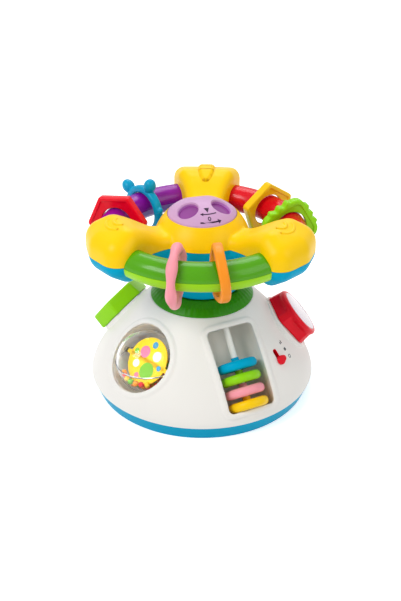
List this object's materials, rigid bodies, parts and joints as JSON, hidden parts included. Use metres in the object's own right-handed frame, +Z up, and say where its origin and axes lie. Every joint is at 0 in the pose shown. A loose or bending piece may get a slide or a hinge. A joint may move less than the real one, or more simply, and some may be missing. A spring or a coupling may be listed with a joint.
{
  "type": "baby activity center",
  "caption": "Bell-shaped toy base with spinning ball, sliding discs and turning knobs, and on top a three-lobed steering wheel with rings on its tubes and a projector dial.",
  "frame": {"origin": "middle of the flat underside of the base, on the wheel's axis", "axes": "+Z up along the wheel's axis, -Y towards the front, between the ball window and the disc window"},
  "size_m": [0.2268, 0.224, 0.1982],
  "materials": {
    "white_shell": "satin",
    "blue_shell": "gloss",
    "yellow_shell": "gloss",
    "collar_green": "clear tinted",
    "pale_inner": "matte",
    "cup_cream": "satin",
    "well_grey": "satin",
    "rod_white": "gloss",
    "cell_black": "satin",
    "steel": "satin",
    "board_green": "matte",
    "speaker_black": "matte",
    "lamp_clear": "clear",
    "diffuser": "frosted",
    "tube_green": "clear tinted",
    "tube_lime": "gloss",
    "tube_purple": "clear tinted",
    "tube_lavender": "gloss",
    "tube_red": "clear tinted",
    "tube_red_low": "gloss",
    "lilac": "gloss",
    "lens_purple": "clear tinted",
    "pink": "gloss",
    "orange": "gloss",
    "hexagon_red": "gloss",
    "teal": "gloss",
    "amber": "gloss",
    "lime": "gloss",
    "disc_yellow": "gloss",
    "ball_clear": "clear",
    "picture_yellow": "printed",
    "bead_mixed": "gloss",
    "knob_red": "gloss",
    "mirror": "mirror",
    "switch_black": "matte"
  },
  "bodies": {
    "base": {"base_tray": "blue_shell", "base_dome": "white_shell", "light_collar": "collar_green", "collar_diffuser": "diffuser", "ball_cup": "cup_cream", "disc_well": "well_grey", "disc_rod": "rod_white", "neck_frame": "pale_inner", "battery_door": "blue_shell", "batteries": "cell_black", "battery_contacts": "steel", "main_board": "board_green", "speaker": "speaker_black", "collar_lamps": "lamp_clear", "switch_body": "switch_black", "base_screws": "steel"},
    "wheel": {"wheel_top_shell": "yellow_shell", "wheel_bottom_shell": "blue_shell", "wheel_shaft": "pale_inner", "shaft_retainer": "steel", "green_tube_top": "tube_green", "green_tube_bottom": "tube_lime", "purple_tube_top": "tube_purple", "purple_tube_bottom": "tube_lavender", "red_tube_top": "tube_red", "red_tube_bottom": "tube_red_low", "lamp_tower": "pale_inner", "lamp_board": "board_green", "lamp_leds": "lamp_clear", "lamp_cells": "steel", "wheel_screws": "steel"},
    "dial": {"projector_dial": "lilac", "dial_lenses": "lens_purple"},
    "wavy_ring": {"wavy_ring": "pink"},
    "flat_ring": {"flat_ring": "orange"},
    "hexagon_ring": {"hexagon_ring": "hexagon_red"},
    "eared_ring": {"eared_ring": "teal"},
    "pentagon_ring": {"pentagon_ring": "amber"},
    "toothed_ring": {"toothed_ring": "lime"},
    "yellow_disc": {"yellow_disc": "disc_yellow"},
    "pink_disc": {"pink_disc": "pink"},
    "green_disc": {"green_disc": "lime"},
    "blue_disc": {"blue_disc": "blue_shell"},
    "ball": {"ball_upper_shell": "ball_clear", "ball_lower_shell": "ball_clear", "picture_disc": "picture_yellow", "ball_beads": "bead_mixed"},
    "mirror_knob": {"mirror_knob": "knob_red", "knob_mirror": "mirror", "mirror_knob_clip": "steel"},
    "hexagon_knob": {"hexagon_knob": "lime", "hexagon_knob_clip": "steel"},
    "switch": {"switch_slider": "knob_red"}
  },
  "joints": [
    {"name": "wheel_turn", "type": "hinge", "parent": "base", "child": "wheel", "pos_m": [0, 0, 0.1], "axis": [0, 0, 1], "continuous": true},
    {"name": "dial_turn", "type": "hinge", "parent": "wheel", "child": "dial", "pos_m": [0, 0, 0.18], "axis": [0, 0, 1], "range_deg": [-60, 0]},
    {"name": "wavy_ring_slide", "type": "hinge", "parent": "wheel", "child": "wavy_ring", "pos_m": [0, 0, 0.1633], "axis": [0, 0, 1], "range_deg": [-15, 7]},
    {"name": "flat_ring_slide", "type": "hinge", "parent": "wheel", "child": "flat_ring", "pos_m": [0, 0, 0.1633], "axis": [0, 0, 1], "range_deg": [-8, 14]},
    {"name": "hexagon_ring_slide", "type": "hinge", "parent": "wheel", "child": "hexagon_ring", "pos_m": [0, 0, 0.1633], "axis": [0, 0, 1], "range_deg": [-9, 12]},
    {"name": "eared_ring_slide", "type": "hinge", "parent": "wheel", "child": "eared_ring", "pos_m": [0, 0, 0.1633], "axis": [0, 0, 1], "range_deg": [-14, 9]},
    {"name": "pentagon_ring_slide", "type": "hinge", "parent": "wheel", "child": "pentagon_ring", "pos_m": [0, 0, 0.1633], "axis": [0, 0, 1], "range_deg": [-7, 13]},
    {"name": "toothed_ring_slide", "type": "hinge", "parent": "wheel", "child": "toothed_ring", "pos_m": [0, 0, 0.1633], "axis": [0, 0, 1], "range_deg": [-11, 7]},
    {"name": "yellow_disc_slide", "type": "slide", "parent": "base", "child": "yellow_disc", "axis": [-0.2841, 0.5698, 0.7711], "range_m": [0, 0.003]},
    {"name": "pink_disc_slide", "type": "slide", "parent": "yellow_disc", "child": "pink_disc", "axis": [-0.2841, 0.5698, 0.7711], "range_m": [0, 0.005]},
    {"name": "green_disc_slide", "type": "slide", "parent": "pink_disc", "child": "green_disc", "axis": [-0.2841, 0.5698, 0.7711], "range_m": [0, 0.007]},
    {"name": "blue_disc_slide", "type": "slide", "parent": "green_disc", "child": "blue_disc", "axis": [-0.2841, 0.5698, 0.7711], "range_m": [0, 0.013]},
    {"name": "ball_spin", "type": "hinge", "parent": "base", "child": "ball", "pos_m": [-0.05251, -0.0516, 0.05155], "axis": [0.7009, -0.7133, 0], "continuous": true},
    {"name": "mirror_knob_turn", "type": "hinge", "parent": "base", "child": "mirror_knob", "pos_m": [0.08487, 0.00743, 0.0611], "axis": [0.7682, 0.0672, 0.6367], "continuous": true},
    {"name": "hexagon_knob_turn", "type": "hinge", "parent": "base", "child": "hexagon_knob", "pos_m": [-0.07885, 0.03846, 0.05799], "axis": [-0.6992, 0.341, 0.6283], "continuous": true},
    {"name": "switch_slide", "type": "slide", "parent": "base", "child": "switch", "axis": [-0.5102, 0.3572, 0.7824], "range_m": [-0.0015, 0.0095]}
  ]
}
